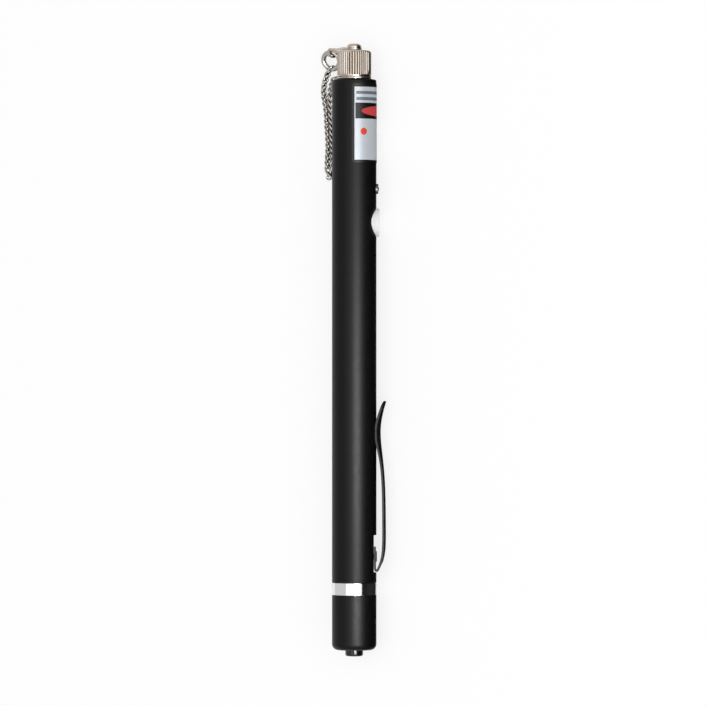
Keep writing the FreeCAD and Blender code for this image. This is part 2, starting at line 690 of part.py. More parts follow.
def focus_lens():
    """Plano-convex lens in front of the diode, bulging towards it."""
    flat = -LENS_SEAT - SLIP
    rim = flat - LENS_EDGE
    crown = rim - LENS_BULGE
    bulge_radius = (LENS_RADIUS ** 2 + LENS_BULGE ** 2) / (2 * LENS_BULGE)
    bulge = math.degrees(math.asin(LENS_RADIUS / bulge_radius))
    curve = corner(0, crown + bulge_radius, bulge_radius, -90 + bulge, -90, 3)
    curve[-1] = (0, crown)
    return turned([(0, flat), (LENS_RADIUS, flat)] + curve)


def laser_diode():
    """Laser diode: flanged can and three pins."""
    seat = -DIODE_SEAT - SLIP
    back = seat - DIODE_FLANGE
    body = turned([
        (0, seat + DIODE_CAN), (DIODE_CAN_RADIUS, seat + DIODE_CAN), (DIODE_CAN_RADIUS, seat),
        (DIODE_FLANGE_RADIUS, seat), (DIODE_FLANGE_RADIUS, back), (0, back),
    ])
    for k in range(3):
        turn = math.radians(120 * k)
        foot = Vector(DIODE_PIN_CIRCLE * math.cos(turn), back, DIODE_PIN_CIRCLE * math.sin(turn))
        body = body.fuse(rod(DIODE_PIN_RADIUS, 0, DIODE_PIN_LENGTH, -AXIS, foot))
    return body


def diode_retainer():
    """Ring that holds the diode's flange against its seat."""
    front = -DIODE_SEAT - 2 * SLIP - DIODE_FLANGE
    back = front - RETAINER_LENGTH
    outer = DIODE_FLANGE_RADIUS
    hole = RETAINER_HOLE_RADIUS
    return turned([(hole, front), (outer, front), (outer, back), (hole, back)])


def contact_carrier():
    """Moulded plug behind the board, which holds its rear end and the front battery contact."""
    front = CARRIER_START
    body = rod(BARREL_BORE_RADIUS - RUNNING, front, front + CARRIER_LENGTH, -AXIS)
    body = body.cut(board_slot(front - 1, BOARD_REAR + SLIP))
    return body.cut(rod(CONTACT_TAIL_RADIUS + SLIP, BOARD_REAR, front + CARRIER_LENGTH + 1, -AXIS))


def front_contact():
    """Sprung disc that meets the front cell, with a tail through the carrier."""
    face = CARRIER_START + CARRIER_LENGTH + SLIP
    disc = rod(CONTACT_RADIUS, face, face + CONTACT_THICKNESS, -AXIS)
    return disc.fuse(rod(CONTACT_TAIL_RADIUS, BOARD_REAR + SEAT, face, -AXIS)).removeSplitter()


def battery_cell(index):
    """AAA cell: rounded can with its nub to the front."""
    tip = -CELLS_START - index * (CELL_LENGTH + SEAT)
    back = tip - CELL_LENGTH
    shoulder = tip - CELL_NUB
    return turned([
        (0, tip), (CELL_NUB_RADIUS, tip), (CELL_NUB_RADIUS, shoulder),
        (CELL_RADIUS, shoulder), (CELL_RADIUS, back), (0, back),
    ])


def trim_ring():
    """Polished ring with a spigot into the barrel and a threaded end for the tail cap."""
    start = -TRIM_START
    end = start - TRIM_LENGTH
    spigot = REAR_BORE_RADIUS - SLIP
    spigot_end = start + REAR_BORE_DEPTH - SEAT
    thread_end = end - TRIM_THREAD_LENGTH
    return turned([
        (TRIM_BORE_RADIUS, spigot_end), (spigot, spigot_end), (spigot, start),
        (BARREL_RADIUS, start), (BARREL_RADIUS, end),
        (REAR_BORE_RADIUS, end), (REAR_BORE_RADIUS, thread_end), (TRIM_BORE_RADIUS, thread_end),
    ])


def tail_cap():
    """Screw cap that closes the battery tube, with a hole for the plug's nub."""
    front = -TAIL_START
    end = -TAIL_END
    thread_bore = REAR_BORE_RADIUS + RUNNING
    thread_end = front - TRIM_THREAD_LENGTH - 0.3
    floor = end + TAIL_END_WALL
    hole = PLUG_NUB_RADIUS + SLIP
    rim = corner(BARREL_RADIUS - TAIL_CORNER, end + TAIL_CORNER, TAIL_CORNER, 0, -90, 4)
    return turned([(thread_bore, front), (BARREL_RADIUS, front)] + rim + [
        (hole, end), (hole, floor), (TAIL_BORE_RADIUS, floor), (TAIL_BORE_RADIUS, thread_end),
        (thread_bore, thread_end),
    ])


def tail_plug():
    """Moulded plug inside the tail cap: spring seat, boss, and the nub that shows outside."""
    seat = -PLUG_START
    shoulder = -TAIL_END + TAIL_END_WALL + SEAT
    tip = -TAIL_END - PLUG_NUB_PROUD
    rim = corner(PLUG_NUB_RADIUS - PLUG_NUB_EDGE, tip + PLUG_NUB_EDGE, PLUG_NUB_EDGE, 0, -90, 3)
    return turned([
        (0, seat + PLUG_BOSS), (PLUG_BOSS_RADIUS, seat + PLUG_BOSS), (PLUG_BOSS_RADIUS, seat),
        (TAIL_BORE_RADIUS - SLIP, seat), (TAIL_BORE_RADIUS - SLIP, shoulder), (PLUG_NUB_RADIUS, shoulder),
    ] + rim + [(0, tip)])


def tail_spring():
    """Conical coil spring between the rear cell and the tail plug."""
    front = -CELLS_END - SEAT - SPRING_WIRE_RADIUS
    rear = -PLUG_START + SPRING_WIRE_RADIUS + SEAT
    count = int(SPRING_TURNS * SPRING_STEPS_PER_TURN)
    middles = []
    tangents = []
    references = []
    for k in range(count + 1):
        share = k / count
        turn = 2 * math.pi * SPRING_TURNS * share
        radius = SPRING_FRONT_RADIUS + (SPRING_REAR_RADIUS - SPRING_FRONT_RADIUS) * share
        outward = Vector(math.cos(turn), 0, math.sin(turn))
        around = Vector(-math.sin(turn), 0, math.cos(turn))
        middles.append(outward * radius + AXIS * (front + (rear - front) * share))
        advance = (rear - front) / (2 * math.pi * SPRING_TURNS * radius)
        tangents.append((around + AXIS * advance).normalize())
        references.append(outward)
    return wire_solid(middles, tangents, references, SPRING_WIRE_RADIUS, SPRING_SIDES, False)


def clip_stations():
    """Middle line of the clip as (distance behind the face, radius, heading, half width, crown)."""
    foot_radius = CLIP_FLAT_RADIUS + SEAT + CLIP_THICKNESS / 2
    wide = CLIP_FOOT_WIDTH / 2
    fold = BARREL_LENGTH - CLIP_FOLD_PLACE
    foot = BARREL_LENGTH - CLIP_FOOT_FRONT
    line = [(place, foot_radius, -90.0, wide, 0.0) for place in (foot, fold)]
    for k in range(1, CLIP_FOLD_STEPS + 1):
        turn = math.radians(CLIP_FOLD_ANGLE * k / CLIP_FOLD_STEPS)
        place = fold + CLIP_FOLD_RADIUS * math.sin(turn)
        radius = foot_radius + CLIP_FOLD_RADIUS * (1 - math.cos(turn))
        line.append((place, radius, math.degrees(turn) - 90, wide, 0.0))
    leaving = math.radians(CLIP_FOLD_ANGLE)
    flare = math.radians(CLIP_FLARE)
    bends = (CLIP_BELLY, CLIP_WAIST, CLIP_PAD, CLIP_TIP)
    leaf = [Vector(ahead - BARREL_LENGTH, radius, 0) for ahead, radius in bends]
    path = Part.BSplineCurve()
    path.interpolate(
        Points=[Vector(-line[-1][0], line[-1][1], 0)] + leaf,
        InitialTangent=Vector(-math.cos(leaving), math.sin(leaving), 0),
        FinalTangent=Vector(math.cos(flare), math.sin(flare), 0),
    )
    length = path.length()
    tip_radius = CLIP_PAD_WIDTH / 2
    straight = length - tip_radius
    places = [straight * (k + 1) / CLIP_STATIONS for k in range(CLIP_STATIONS)]
    for k in range(1, CLIP_TIP_STEPS + 1):
        places.append(straight + tip_radius * math.sin(math.radians(80 * k / CLIP_TIP_STEPS)))
    for distance in places:
        parameter = path.parameterAtDistance(distance, path.FirstParameter)
        point = path.value(parameter)
        tangent = path.tangent(parameter)[0]
        heading = math.degrees(math.atan2(tangent.x, tangent.y))
        half = wide + (tip_radius - wide) * min(1, distance / straight)
        if distance > straight:
            half = math.sqrt(tip_radius ** 2 - (distance - straight) ** 2)
        crown = CLIP_CROWN * min(1, distance / (0.12 * length)) * half / wide
        line.append((-point.x, point.y, heading, half, crown))
    return line


def clip_faces(radius, heading, crown):
    """Radial place of the strip's two faces at its edges, first the one that is outside on the leaf."""
    lean = math.cos(math.radians(heading - 90))
    return [radius + lean * (side * CLIP_THICKNESS / 2 - crown) for side in (1, -1)]


def clip():
    """Spring steel strip: a foot on the barrel's flat, a fold, and a crowned leaf with a flared tip."""
    wires = []
    for place, radius, heading, half, crown in clip_stations():
        normal = Vector(math.cos(math.radians(heading - 90)), math.sin(math.radians(heading - 90)), 0)
        middle = Vector(radius, -place, 0)
        corners = []
        for side in (1, -1):
            for k in range(CLIP_CROWN_STEPS + 1):
                across = side * (1 - 2 * k / CLIP_CROWN_STEPS)
                rise = side * CLIP_THICKNESS / 2 - crown * across ** 2
                corners.append(middle + normal * rise + UP * (half * across))
        wires.append(Part.makePolygon(corners + corners[:1]))
    strip = Part.makeLoft(wires, True, True)
    foot_top = CLIP_FLAT_RADIUS + 2 * SEAT + CLIP_THICKNESS
    return strip.cut(rod(CLIP_RIVET_RADIUS + SLIP, 0, foot_top, SIDE, station(CLIP_RIVET_STATION)))


def clip_rivet():
    """Drive rivet that holds the clip's foot to the barrel."""
    under = CLIP_FLAT_RADIUS + SEAT + SLIP + CLIP_THICKNESS
    top = under + CLIP_RIVET_HEAD
    inner = BARREL_BORE_RADIUS + SLIP
    edge = CLIP_RIVET_HEAD / 2
    return sideways(turned([
        (0, inner), (CLIP_RIVET_RADIUS, inner), (CLIP_RIVET_RADIUS, under), (CLIP_RIVET_HEAD_RADIUS, under),
        (CLIP_RIVET_HEAD_RADIUS, top - edge), (CLIP_RIVET_HEAD_RADIUS - edge, top), (0, top),
    ]), CLIP_RIVET_STATION)


def roll():
    """Degrees that the pen has rolled when the clip's edge and the barrel both meet the floor."""
    angles = []
    for place, radius, heading, half, crown in clip_stations():
        for edge in clip_faces(radius, heading, crown):
            reach = math.hypot(edge, half)
            if reach > AXIS_HEIGHT:
                angles.append(math.degrees(math.asin(AXIS_HEIGHT / reach) - math.atan2(half, edge)))
    return min(angles)


def pieces():
    """Every piece by name, in its place on the lying pen."""
    rolled = {
        "barrel": barrel(),
        "label": label(),
        "indicator_lamp": indicator_lamp(),
        "lamp_bezel": lamp_bezel(),
        "push_button": push_button(),
        "switch_plunger": switch_plunger(),
        "switch_body": switch_body(),
        "driver_board": driver_board(),
        "laser_housing": laser_housing(),
        "laser_diode": laser_diode(),
        "contact_carrier": contact_carrier(),
        "clip": clip(),
        "clip_rivet": clip_rivet(),
    }
    turn = roll()
    for shape in rolled.values():
        shape.rotate(Vector(0, 0, 0), AXIS, turn)
    straight = {
        "front_neck": front_neck(),
        "ferrule_sleeve": ferrule_sleeve(),
        "focus_lens": focus_lens(),
        "diode_retainer": diode_retainer(),
        "front_contact": front_contact(),
        "cell_front": battery_cell(0),
        "cell_rear": battery_cell(1),
        "trim_ring": trim_ring(),
        "tail_cap": tail_cap(),
        "tail_plug": tail_plug(),
        "tail_spring": tail_spring(),
        "neck_washer": neck_washer(),
        "dust_cap": dust_cap(),
        "cap_rivet": cap_rivet(),
        "cap_lug": cap_lug(),
        "jump_ring": jump_ring(),
        "tether_chain": tether_chain(),
    }
    return {**rolled, **straight}


os.makedirs("parts", exist_ok=True)
for name, shape in pieces().items():
    shape.exportStep("parts/" + name + ".step")
print("roll in degrees", round(roll(), 4))
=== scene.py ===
import json
import math

import bmesh
import bpy
from mathutils import Matrix, Vector


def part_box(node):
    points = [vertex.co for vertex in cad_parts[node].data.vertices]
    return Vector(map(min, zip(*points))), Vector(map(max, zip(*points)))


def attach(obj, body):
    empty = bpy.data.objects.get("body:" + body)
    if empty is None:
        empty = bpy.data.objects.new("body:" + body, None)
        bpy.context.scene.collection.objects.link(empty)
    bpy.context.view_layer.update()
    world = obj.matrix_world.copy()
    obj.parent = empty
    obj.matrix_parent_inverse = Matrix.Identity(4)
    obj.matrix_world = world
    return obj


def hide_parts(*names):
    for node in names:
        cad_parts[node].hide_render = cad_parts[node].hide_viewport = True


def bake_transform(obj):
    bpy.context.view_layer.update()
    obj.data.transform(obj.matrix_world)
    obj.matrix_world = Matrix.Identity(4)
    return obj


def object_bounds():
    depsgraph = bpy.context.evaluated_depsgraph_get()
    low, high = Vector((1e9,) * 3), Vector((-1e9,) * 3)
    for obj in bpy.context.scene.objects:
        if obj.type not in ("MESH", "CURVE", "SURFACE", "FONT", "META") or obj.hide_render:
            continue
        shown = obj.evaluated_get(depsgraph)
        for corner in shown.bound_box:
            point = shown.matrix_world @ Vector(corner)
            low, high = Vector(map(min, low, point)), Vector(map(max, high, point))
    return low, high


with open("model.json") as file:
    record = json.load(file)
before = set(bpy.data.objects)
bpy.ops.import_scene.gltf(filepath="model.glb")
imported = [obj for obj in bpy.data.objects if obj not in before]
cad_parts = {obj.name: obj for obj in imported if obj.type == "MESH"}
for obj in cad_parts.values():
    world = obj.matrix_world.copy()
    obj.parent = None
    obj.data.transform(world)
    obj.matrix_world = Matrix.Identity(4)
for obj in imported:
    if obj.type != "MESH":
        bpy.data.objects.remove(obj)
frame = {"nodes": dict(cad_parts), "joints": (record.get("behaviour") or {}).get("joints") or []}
cad_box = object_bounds()
nodes = frame["nodes"]
joints = {joint["name"]: joint for joint in frame["joints"]}


# Camera. It looks square on to the barrel, a little round from straight above, so that the clip,
# the lamp and the button are seen in profile on the right. A long lens keeps the sides parallel.

MM = 0.001
BUTTON_WAY = -Vector(joints["button_press"]["axis"]).normalized()
ALONG = Vector((0, 1, 0))
TOWARDS_CAMERA = BUTTON_WAY.cross(ALONG)
if TOWARDS_CAMERA.z < 0:
    TOWARDS_CAMERA.negate()
FRAME_WIDTH = 209.4 * MM
FRAME_MIDDLE = ALONG * (-81.06 * MM) + BUTTON_WAY * (-0.36 * MM)


def placed(name, data):
    """A new object in the scene for a mesh, a lamp or a camera."""
    thing = bpy.data.objects.new(name, data)
    bpy.context.scene.collection.objects.link(thing)
    return thing


lens = bpy.data.cameras.new("long_lens")
lens.lens = 250
lens.sensor_width = 36
lens.clip_start = 0.05
lens.clip_end = 20
camera = placed("camera", lens)
camera.location = FRAME_MIDDLE + TOWARDS_CAMERA * (FRAME_WIDTH * lens.lens / lens.sensor_width)
camera.rotation_euler = Matrix((BUTTON_WAY, ALONG, TOWARDS_CAMERA)).transposed().to_euler()
bpy.context.scene.camera = camera


# Barrel. An aluminium tube with a closed front end, black anodised over a fine blasted surface.
# It is bored for the button and the lamp on one side, and its front rim is rounded over.

BLAST_GRAIN = 0.16
SLIP = 0.02
RUNNING = 0.06
EDGE_BREAK = 0.12
MILL_HEIGHT = 4
MILL_WIDTH = 16


def linear(code):
    """Linear colour of an sRGB hex code."""
    values = [int(code[i:i + 2], 16) / 255 for i in (1, 3, 5)]
    return [v / 12.92 if v <= 0.04045 else ((v + 0.055) / 1.055) ** 2.4 for v in values] + [1.0]


def add(tree, kind, settings, links=None):
    """A shader node with its settings, and with links from other nodes' outputs into its inputs."""
    node = tree.nodes.new(kind)
    for name, value in settings.items():
        if isinstance(name, int) or name in node.inputs:
            node.inputs[name].default_value = value
        else:
            setattr(node, name, value)
    for name, source in (links or {}).items():
        tree.links.new(source, node.inputs[name])
    return node


def finish(name, colour, roughness, metallic=0.0, **shader):
    """A new material with its principled shader, as (material, tree, shader)."""
    material = bpy.data.materials.new(name)
    material.use_nodes = True
    tree = material.node_tree
    surface = tree.nodes["Principled BSDF"]
    surface.inputs["Base Color"].default_value = linear(colour)
    surface.inputs["Roughness"].default_value = roughness
    surface.inputs["Metallic"].default_value = metallic
    for socket, value in shader.items():
        surface.inputs[socket.replace("_", " ")].default_value = value
    return material, tree, surface


def place_in_mm(tree, stretch=(1, 1, 1)):
    """Place on the object in millimetres, divided by a stretch along each axis."""
    where = add(tree, "ShaderNodeTexCoord", {})
    scale = [1 / MM / s for s in stretch]
    scaled = add(tree, "ShaderNodeMapping", {"Scale": scale}, {"Vector": where.outputs["Object"]})
    return scaled.outputs["Vector"]


def grain(tree, surface, size, height, low, high, stretch=(1, 1, 1)):
    """Fine relief of a given size and height in mm, which also moves the roughness from low to high."""
    where = place_in_mm(tree, stretch)
    fine = add(tree, "ShaderNodeTexNoise", {"Scale": 1 / size, "Detail": 2.0}, {"Vector": where})
    wide = add(tree, "ShaderNodeTexNoise", {"Scale": 0.12 / size, "Detail": 3.0}, {"Vector": where})
    rough = add(tree, "ShaderNodeMapRange", {"From Min": 0.3, "From Max": 0.7, "To Min": low, "To Max": high},
                {"Value": wide.outputs["Fac"]})
    bump = add(tree, "ShaderNodeBump", {"Strength": 1.0, "Distance": height * MM},
               {"Height": fine.outputs["Fac"]})
    tree.links.new(rough.outputs["Result"], surface.inputs["Roughness"])
    tree.links.new(bump.outputs["Normal"], surface.inputs["Normal"])
    return wide


def black_anodising():
    """Black anodised aluminium, fine blasted: a dark satin that shows handling as faint lighter patches."""
    material, tree, surface = finish("black_anodised_blasted_aluminium", "#070708", 0.36,
                                     Specular_IOR_Level=0.17)
    wide = grain(tree, surface, BLAST_GRAIN, 0.0010, 0.40, 0.47)
    tone = add(tree, "ShaderNodeMix", {"data_type": "RGBA", "A": linear("#040405"), "B": linear("#0a0a0b")},
               {"Factor": wide.outputs["Fac"]})
    tree.links.new(tone.outputs["Result"], surface.inputs["Base Color"])
    return material


def new_piece(name, mesh, material, body, *replaced):
    """An object for a mesh, with its finish, on its body if it has one, standing for CAD nodes."""
    piece = placed(name, mesh)
    mesh.materials.clear()
    mesh.materials.append(material)
    if body:
        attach(piece, body)
    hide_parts(*replaced)
    return piece


def rounded(outline, steps=4):
    """Outline of (radius, place, rounding) corners in mm as points, each corner with its arc."""
    points = []
    count = len(outline)
    for k, (radius, place, size) in enumerate(outline):
        here = Vector((radius, place))
        if size == 0:
            points.append(here)
            continue
        back = (Vector(outline[k - 1][:2]) - here).normalized()
        ahead = (Vector(outline[(k + 1) % count][:2]) - here).normalized()
        half = back.angle(ahead) / 2
        start = here + back * (size / math.tan(half))
        end = here + ahead * (size / math.tan(half))
        centre = here + (back + ahead).normalized() * (size / math.sin(half))
        first = start - centre
        turn = first.angle_signed(end - centre)
        for step in range(steps + 1):
            angle = -turn * step / steps
            points.append(centre + Matrix.Rotation(angle, 2) @ first)
    return points


def mesh_of(shape, name):
    """A new mesh from a bmesh, which is freed."""
    mesh = bpy.data.meshes.new(name)
    shape.to_mesh(mesh)
    shape.free()
    return mesh


def on_axis(radius, place, angle):
    """Point on a radius about the pen's axis, at a place along it, both in mm."""
    return radius * MM * math.cos(angle), place * MM, radius * MM * math.sin(angle)


def turned(name, outline, segments=96, steps=4):
    """Mesh of revolution about the pen's axis from a closed outline in mm."""
    shape = bmesh.new()
    rings = []
    for point in rounded(outline, steps):
        if point.x < 1e-6:
            rings.append([shape.verts.new((0, point.y * MM, 0))])
            continue
        turns = [2 * math.pi * k / segments for k in range(segments)]
        rings.append([shape.verts.new(on_axis(point.x, point.y, turn)) for turn in turns])
    for near, far in zip(rings, rings[1:] + rings[:1]):
        for k in range(segments):
            after = k + 1
            corners = [near[k % len(near)], near[after % len(near)], far[after % len(far)], far[k % len(far)]]
            corners = [c for i, c in enumerate(corners) if c not in corners[:i]]
            if len(corners) > 2:
                shape.faces.new(corners)
    bmesh.ops.recalc_face_normals(shape, faces=shape.faces)
    mesh = mesh_of(shape, name)
    soften(mesh)
    return mesh


def soften(mesh, angle=40):
    """Smooth shading that keeps edges sharper than an angle in degrees."""
    mesh.polygons.foreach_set("use_smooth", [True] * len(mesh.polygons))
    mesh.set_sharp_from_angle(angle=math.radians(angle))


def applied(work):
    """The mesh of an object with its modifiers applied. The object is removed."""
    bpy.context.view_layer.update()
    result = bpy.data.meshes.new_from_object(work.evaluated_get(bpy.context.evaluated_depsgraph_get()))
    bpy.data.objects.remove(work)
    return result


def less(mesh, cutters):
    """The mesh with each cutter's mesh cut out of it."""
    work = placed("work", mesh)
    tools = [placed("cutter", cutter) for cutter in cutters]
    for tool in tools:
        cut = work.modifiers.new("cut", "BOOLEAN")
        cut.object = tool
        cut.solver = "EXACT"
    result = applied(work)
    for tool in tools:
        bpy.data.objects.remove(tool)
    soften(result)
    return result


def drill(radius, place):
    """Cutter for a round hole on the button's side, at a place along the pen, in mm."""
    start, end = 2, 12
    tool = turned("drill", [(0, start, 0), (radius, start, 0), (radius, end, 0), (0, end, 0)])
    tool.transform(side_on(place))
    return tool


def mill(height, rear, front):
    """Cutter that leaves a flat on the button's side, at a height above the axis, in mm."""
    block_middle = ALONG * (rear + front) / 2 + BUTTON_WAY * (height + MILL_HEIGHT / 2)
    turn = Matrix((BUTTON_WAY, ALONG, TOWARDS_CAMERA)).transposed().to_4x4()
    shape = bmesh.new()
    bmesh.ops.create_cube(shape, size=1, matrix=Matrix.Diagonal((MILL_HEIGHT, front - rear, MILL_WIDTH, 1)))
    tool = mesh_of(shape, "mill")
    tool.transform(Matrix.Scale(MM, 4) @ Matrix.Translation(block_middle) @ turn)
    return tool


def side_on(place):
    """Turns a mesh on the pen's axis to stand out of the button's side, at a place along the pen in mm."""
    across = ALONG.cross(BUTTON_WAY)
    turn = Matrix((across, BUTTON_WAY, -ALONG)).transposed().to_4x4()
    return Matrix.Translation(ALONG * (place * MM)) @ turn


def reach(node):
    """A CAD node's lowest and highest place along the pen, in mm."""
    low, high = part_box(node)
    return low[1] / MM, high[1] / MM


def middle(node):
    """The middle of a CAD node along the pen, in mm."""
    return sum(reach(node)) / 2


def radius_of(node):
    """Half of a turned CAD node's height, in mm."""
    low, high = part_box(node)
    return (high[2] - low[2]) / 2 / MM


barrel_end, barrel_front = reach("barrel")
BARREL_RADIUS = radius_of("barrel")
BARREL_BORE = 5.6
SOCKET_RADIUS = 6.0
SOCKET_DEPTH = 2.6
NOSE_WALL = 2.0
NECK_HOLE = 4.02
FRONT_ROUNDING = 0.55
BUTTON_RADIUS = 4.15
LAMP_HOLE = 1.52
CLIP_FLAT = 5.8
CLIP_FLAT_REAR = 2.9
CLIP_FLAT_FRONT = 14.1

black_metal = black_anodising()
nose_inside = barrel_front - NOSE_WALL
socket_floor = barrel_end + SOCKET_DEPTH
barrel = turned("barrel_tube", [
    (NECK_HOLE, barrel_front, 0.15), (BARREL_RADIUS, barrel_front, FRONT_ROUNDING),
    (BARREL_RADIUS, barrel_end, EDGE_BREAK), (SOCKET_RADIUS, barrel_end, 0.1),
    (SOCKET_RADIUS, socket_floor, 0), (BARREL_BORE, socket_floor, 0),
    (BARREL_BORE, nose_inside, 0), (NECK_HOLE, nose_inside, 0),
], segments=128)
barrel = less(barrel, [
    drill(BUTTON_RADIUS + RUNNING, middle("push_button")), drill(LAMP_HOLE, middle("lamp_bezel")),
    mill(CLIP_FLAT, barrel_end + CLIP_FLAT_REAR, barrel_end + CLIP_FLAT_FRONT),
])
new_piece("barrel_tube", barrel, black_metal, "pen", "barrel")


# Front neck. A turned brass nose, nickel plated, that closes the barrel's front end and carries the
# dust cap's thread outside and the ferrule sleeve inside.

NICKEL = "#cbbfb3"
# Colour of the painted shade that the nickel finishes take in corners and hollows.
HOLLOW_SHADE = "#3b3029"
SHADE_REACH = 0.7


def nickel_plating(name, grit, low, high, colour=NICKEL, shade_from=0.6):
    """Bright nickel plate: a warm mirror with fine marks, with painted shade that turns its colour dark brown
    in corners and hollows.
    """
    material, tree, surface = finish(name, colour, low, metallic=1.0)
    grain(tree, surface, grit, 0.0006, low, high, stretch=(1, 0.12, 1))
    # Painted shade: ambient occlusion darkens the base colour towards the dark brown in corners, in flutes
    # and between parts.
    hollow = add(tree, "ShaderNodeAmbientOcclusion", {"samples": 8, "Distance": SHADE_REACH * MM})
    open_face = add(tree, "ShaderNodeMapRange", {"From Min": shade_from, "From Max": shade_from + 0.3},
                    {"Value": hollow.outputs["AO"]})
    tone = add(tree, "ShaderNodeMix", {"data_type": "RGBA", "A": linear(HOLLOW_SHADE), "B": linear(colour)},
               {"Factor": open_face.outputs["Result"]})
    tree.links.new(tone.outputs["Result"], surface.inputs["Base Color"])
    return material


def dress(material, *names):
    """Gives CAD nodes their finish."""
    for name in names:
        data = nodes[name].data
        if not data.materials:
            data.materials.append(material)
        for slot in nodes[name].material_slots:
            slot.link = "OBJECT"
            slot.material = material


nickel = nickel_plating("bright_nickel_plated_brass", 0.12, 0.13, 0.22)
dress(nickel, "front_neck")


# Ferrule sleeve. A split tube of sintered and ground zirconia, pressed into the neck. It centres the
# ferrule of the fibre's plug in front of the lens.

zirconia, tree, surface = finish("ground_zirconia", "#efece4", 0.22, IOR=2.1, Subsurface_Weight=0.15,
                                 Subsurface_Radius=(0.0006, 0.0005, 0.0004))
grain(tree, surface, 0.05, 0.0004, 0.18, 0.28)
dress(zirconia, "ferrule_sleeve")


# Laser module. A turned brass housing behind the neck, with a pressed lens, the laser diode's steel
# can and the ring that holds it in.

brass, tree, surface = finish("turned_brass", "#c9a456", 0.25, metallic=1.0)
grain(tree, surface, 0.08, 0.0010, 0.20, 0.32, stretch=(1, 0.1, 1))
dress(brass, "laser_housing", "diode_retainer")

steel_can, tree, surface = finish("drawn_tinned_steel", "#c4c2bd", 0.28, metallic=1.0)
grain(tree, surface, 0.10, 0.0008, 0.22, 0.34)
dress(steel_can, "laser_diode", "front_contact", "tail_spring")

lens_glass, tree, surface = finish("pressed_optical_glass", "#f2f6f5", 0.03, IOR=1.52,
                                   Transmission_Weight=1.0)
grain(tree, surface, 0.4, 0.0001, 0.02, 0.05)
dress(lens_glass, "focus_lens")


# Driver board and contact carrier. A glass epoxy board under green solder mask, and a moulded nylon
# plug that holds the front battery contact.

solder_mask, tree, surface = finish("green_solder_mask_on_glass_epoxy", "#1c5433", 0.3)
weave = add(tree, "ShaderNodeTexBrick", {
    "Scale": 1 / 0.5, "Color1": linear("#1c5433"), "Color2": linear("#1f5a37"), "Mortar": linear("#174a2c"),
    "Mortar Size": 0.04,
}, {"Vector": place_in_mm(tree)})
tree.links.new(weave.outputs["Color"], surface.inputs["Base Color"])
dress(solder_mask, "driver_board")

black_nylon, tree, surface = finish("black_nylon_spark_eroded", "#19191a", 0.5)
grain(tree, surface, 0.12, 0.004, 0.42, 0.58)
dress(black_nylon, "contact_carrier", "switch_body")


# Cells. Two AAA cells in line, drawn steel cans in a blue printed shrink sleeve. They lie between the
# carrier's contact and the tail spring.

cell_sleeve, tree, surface = finish("printed_shrink_sleeve", "#34507f", 0.25, Coat_Weight=0.4)
grain(tree, surface, 0.6, 0.002, 0.2, 0.32)
dress(cell_sleeve, "cell_front", "cell_rear")


# Label. A printed silver polyester film with a black border, wrapped round the button's side of the
# barrel behind its front rim. Its print is plain fields: two grey bars, a black band, a red oval and
# a red spot.

LABEL_LENGTH = 23.5
LABEL_HALF_WRAP = 96.4
LABEL_CORNER = 1.0
LABEL_BORDER = 0.84
LABEL_ROWS = 40
LABEL_COLUMNS = 96
CORNER_STEPS = 6
PRINT_EDGE = 0.02
label_front = reach("label")[1]
label_radius = max(BUTTON_WAY.dot(v.co) for v in nodes["label"].data.vertices) / MM
label_under = BARREL_RADIUS + SLIP
label_half = math.radians(LABEL_HALF_WRAP) * label_radius


def label_place(across, back, radius):
    """Point of the wrapped label: mm across from its middle, mm back from its front edge, on a radius."""
    angle = across / label_radius
    way = BUTTON_WAY * math.cos(angle) + TOWARDS_CAMERA * (-math.sin(angle))
    return way * (radius * MM) + ALONG * ((label_front - back) * MM)


def label_sheet():
    """Closed thin sheet with round corners, and its places in mm as the texture map."""
    shape = bmesh.new()
    flat = shape.loops.layers.uv.new("mm")
    turns = [math.radians(90 * k / CORNER_STEPS) for k in range(CORNER_STEPS + 1)]
    backs = [LABEL_CORNER * (1 - math.cos(turn)) for turn in turns]
    backs += [LABEL_CORNER + (LABEL_LENGTH - 2 * LABEL_CORNER) * k / LABEL_ROWS for k in range(1, LABEL_ROWS)]
    backs += [LABEL_LENGTH - b for b in backs[CORNER_STEPS::-1]]
    sheets = []
    spot = {}
    for radius in (label_radius, label_under):
        rows = []
        for back in backs:
            inset = LABEL_CORNER - min(LABEL_CORNER, back, LABEL_LENGTH - back)
            half = label_half - LABEL_CORNER + math.sqrt(LABEL_CORNER ** 2 - inset ** 2)
            row = []
            for k in range(LABEL_COLUMNS + 1):
                across = half * (2 * k / LABEL_COLUMNS - 1)
                vertex = shape.verts.new(label_place(across, back, radius))
                spot[vertex] = (across, back)
                row.append(vertex)
            rows.append(row)
        sheets.append(rows)
    for rows in sheets:
        for near, far in zip(rows, rows[1:]):
            for k in range(LABEL_COLUMNS):
                shape.faces.new((near[k], near[k + 1], far[k + 1], far[k]))
    rims = []
    for rows in sheets:
        right = [row[-1] for row in rows[1:]]
        left = [row[0] for row in rows[-2:0:-1]]
        rims.append(rows[0] + right + rows[-1][-2::-1] + left)
    top, under = rims
    for k in range(len(top)):
        shape.faces.new((top[k], top[k - 1], under[k - 1], under[k]))
    bmesh.ops.recalc_face_normals(shape, faces=shape.faces)
    for face in shape.faces:
        for loop in face.loops:
            loop[flat].uv = spot[loop.vert]
    mesh = mesh_of(shape, "label_film")
    soften(mesh)
    return mesh


